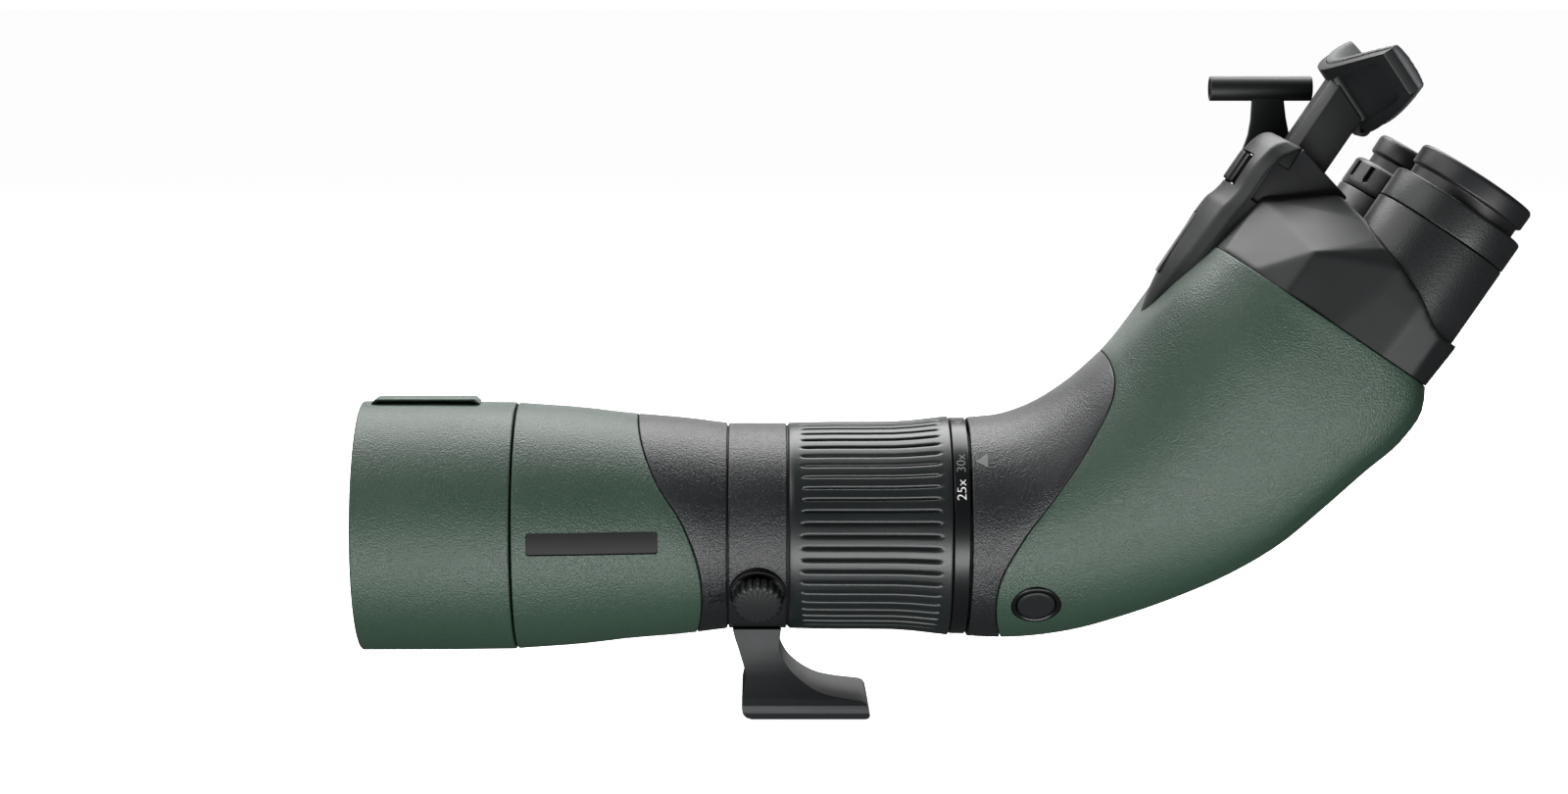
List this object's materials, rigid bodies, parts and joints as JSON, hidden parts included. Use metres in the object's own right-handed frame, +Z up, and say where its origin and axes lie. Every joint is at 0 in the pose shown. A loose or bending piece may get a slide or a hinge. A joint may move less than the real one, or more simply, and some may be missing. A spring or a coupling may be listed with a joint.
{
  "type": "spotting scope",
  "caption": "Angled spotting scope with two eyepieces, sliding sunshade, rotating tripod collar and foot, focus and zoom rings, forehead rest and sighting tube.",
  "frame": {"origin": "centre of the flat underside of the tripod foot", "axes": "+X from the objective to the user along the barrel, +Z up, -Y the side with the clamp knob and the release button"},
  "size_m": [0.3939, 0.1244, 0.2329],
  "materials": {
    "armour_green": "fine-grained moulded rubber armour",
    "armour_charcoal": "fine-grained moulded rubber armour",
    "foot_paint": "matte powder coat",
    "satin_black": "satin",
    "matte_black": "matte moulded",
    "grip_rubber": "ribbed moulded rubber",
    "soft_rubber": "smooth soft rubber",
    "pad_rubber": "soft foam rubber",
    "anodised_aluminium": "black anodised",
    "steel": "machined",
    "optical_glass": "coated and polished"
  },
  "bodies": {
    "collar": {"tripod_collar": "armour_charcoal", "tripod_foot": "foot_paint", "foot_thread_insert": "steel", "foot_screw_1": "steel", "foot_screw_2": "steel"},
    "clamp_knob": {"clamp_knob": "matte_black", "clamp_screw": "steel"},
    "brake_pad": {"brake_pad": "soft_rubber"},
    "objective": {"objective_barrel": "anodised_aluminium", "objective_armour_front": "armour_green", "objective_armour_rear": "armour_charcoal", "blank_badge": "satin_black", "objective_cell": "anodised_aluminium", "objective_lens_ring": "anodised_aluminium", "objective_lens_front": "optical_glass", "objective_lens_rear": "optical_glass", "bayonet_flange": "steel"},
    "sunshade": {"sunshade_hood": "armour_green", "hood_sight_rail": "armour_green"},
    "focus_ring": {"focus_ring_core": "anodised_aluminium", "focus_ring_grip": "grip_rubber"},
    "focus_cell": {"focus_lens_cell": "anodised_aluminium", "focus_lens": "optical_glass"},
    "zoom_ring": {"zoom_ring": "satin_black"},
    "ocular": {"ocular_front_armour": "armour_charcoal", "ocular_armour": "armour_green", "ocular_casting": "anodised_aluminium", "bayonet_ring": "steel", "release_bezel": "satin_black", "turning_prism": "optical_glass", "prism_plate": "anodised_aluminium", "beam_splitter_prism": "optical_glass", "left_eyepiece_prism": "optical_glass", "right_eyepiece_prism": "optical_glass", "eyepiece_cover": "matte_black", "rest_carrier": "matte_black", "rest_inlay": "satin_black", "rest_base": "soft_rubber", "sighting_tube": "matte_black"},
    "zoom_cell": {"zoom_lens_cell": "anodised_aluminium", "zoom_lens": "optical_glass"},
    "release_button": {"release_button": "satin_black", "release_spring": "steel"},
    "left_eyepiece": {"left_eyepiece_barrel": "matte_black", "left_upper_ring": "matte_black", "left_eye_lens": "optical_glass", "left_field_lens": "optical_glass"},
    "right_eyepiece": {"right_eyepiece_barrel": "matte_black", "right_eye_lens": "optical_glass", "right_field_lens": "optical_glass"},
    "dioptre_ring": {"right_dioptre_ring": "matte_black"},
    "left_cup_guide": {"left_eyecup_guide": "anodised_aluminium"},
    "right_cup_guide": {"right_eyecup_guide": "anodised_aluminium"},
    "left_eyecup": {"left_eyecup": "soft_rubber"},
    "right_eyecup": {"right_eyecup": "soft_rubber"},
    "rest_wheel": {"rest_wheel": "grip_rubber", "rest_spindle": "steel"},
    "rest_post": {"rest_post": "matte_black", "pad_shell": "matte_black", "forehead_pad": "pad_rubber"}
  },
  "joints": [
    {"name": "scope_rotation", "type": "hinge", "parent": "collar", "child": "objective", "pos_m": [0, 0, 0.0652], "axis": [1, 0, 0], "continuous": true},
    {"name": "clamp_knob_turn", "type": "hinge", "parent": "collar", "child": "clamp_knob", "pos_m": [-0.0167, 0, 0.0652], "axis": [0, -0.866, -0.5], "range_deg": [-181, 1]},
    {"name": "brake_pad_slide", "type": "slide", "parent": "collar", "child": "brake_pad", "axis": [0, -0.866, -0.5], "range_m": [0, 0.00058]},
    {"name": "sunshade_slide", "type": "slide", "parent": "objective", "child": "sunshade", "axis": [-1, 0, 0], "range_m": [0, 0.045]},
    {"name": "focus_turn", "type": "hinge", "parent": "objective", "child": "focus_ring", "pos_m": [0, 0, 0.0652], "axis": [1, 0, 0], "range_deg": [-270, 270]},
    {"name": "focus_cell_slide", "type": "slide", "parent": "objective", "child": "focus_cell", "axis": [1, 0, 0], "range_m": [-0.0085, 0.0085]},
    {"name": "zoom_turn", "type": "hinge", "parent": "objective", "child": "zoom_ring", "pos_m": [0, 0, 0.0652], "axis": [1, 0, 0], "range_deg": [-16, 104]},
    {"name": "bayonet_turn", "type": "hinge", "parent": "objective", "child": "ocular", "pos_m": [0, 0, 0.0652], "axis": [1, 0, 0], "range_deg": [0, 40]},
    {"name": "zoom_cell_slide", "type": "slide", "parent": "ocular", "child": "zoom_cell", "axis": [1, 0, 0], "range_m": [-0.0025, 0.0145]},
    {"name": "release_press", "type": "slide", "parent": "ocular", "child": "release_button", "axis": [0, 0.7986, 0.6018], "range_m": [0, 0.0015], "stiffness_N_per_m": 900, "springref_m": -0.0006},
    {"name": "left_spacing", "type": "slide", "parent": "ocular", "child": "left_eyepiece", "axis": [0, 1, 0], "range_m": [-0.0005, 0.008]},
    {"name": "right_spacing", "type": "slide", "parent": "ocular", "child": "right_eyepiece", "axis": [0, -1, 0], "range_m": [-0.0005, 0.008]},
    {"name": "dioptre_turn", "type": "hinge", "parent": "right_eyepiece", "child": "dioptre_ring", "pos_m": [0.21374, 0.036, 0.1741], "axis": [0.5548, 0, 0.832], "range_deg": [-120, 120]},
    {"name": "left_cup_turn", "type": "hinge", "parent": "left_eyepiece", "child": "left_cup_guide", "pos_m": [0.21374, -0.036, 0.1741], "axis": [0.5548, 0, 0.832], "range_deg": [-1, 271]},
    {"name": "left_cup_rise", "type": "slide", "parent": "left_cup_guide", "child": "left_eyecup", "axis": [0.5548, 0, 0.832], "range_m": [0, 0.008]},
    {"name": "right_cup_turn", "type": "hinge", "parent": "right_eyepiece", "child": "right_cup_guide", "pos_m": [0.21374, 0.036, 0.1741], "axis": [0.5548, 0, 0.832], "range_deg": [-1, 271]},
    {"name": "right_cup_rise", "type": "slide", "parent": "right_cup_guide", "child": "right_eyecup", "axis": [0.5548, 0, 0.832], "range_m": [0, 0.008]},
    {"name": "rest_wheel_turn", "type": "hinge", "parent": "ocular", "child": "rest_wheel", "pos_m": [0.15032, 0, 0.18875], "axis": [0.5548, 0, 0.832], "range_deg": [-2, 722]},
    {"name": "rest_height", "type": "slide", "parent": "ocular", "child": "rest_post", "axis": [0.5548, 0, 0.832], "range_m": [0, 0.008]}
  ],
  "couplings": [
    {"joint": "clamp_knob_turn", "follows": "brake_pad_slide", "rad_per_m": -5416.5},
    {"joint": "focus_cell_slide", "follows": "focus_turn", "m_per_rad": 0.0016977},
    {"joint": "zoom_cell_slide", "follows": "zoom_turn", "m_per_rad": 0.0077129},
    {"joint": "right_spacing", "follows": "left_spacing", "ratio": 1},
    {"joint": "left_cup_turn", "follows": "left_cup_rise", "rad_per_m": 589.05},
    {"joint": "right_cup_turn", "follows": "right_cup_rise", "rad_per_m": 589.05},
    {"joint": "rest_wheel_turn", "follows": "rest_height", "rad_per_m": 1570.8}
  ]
}
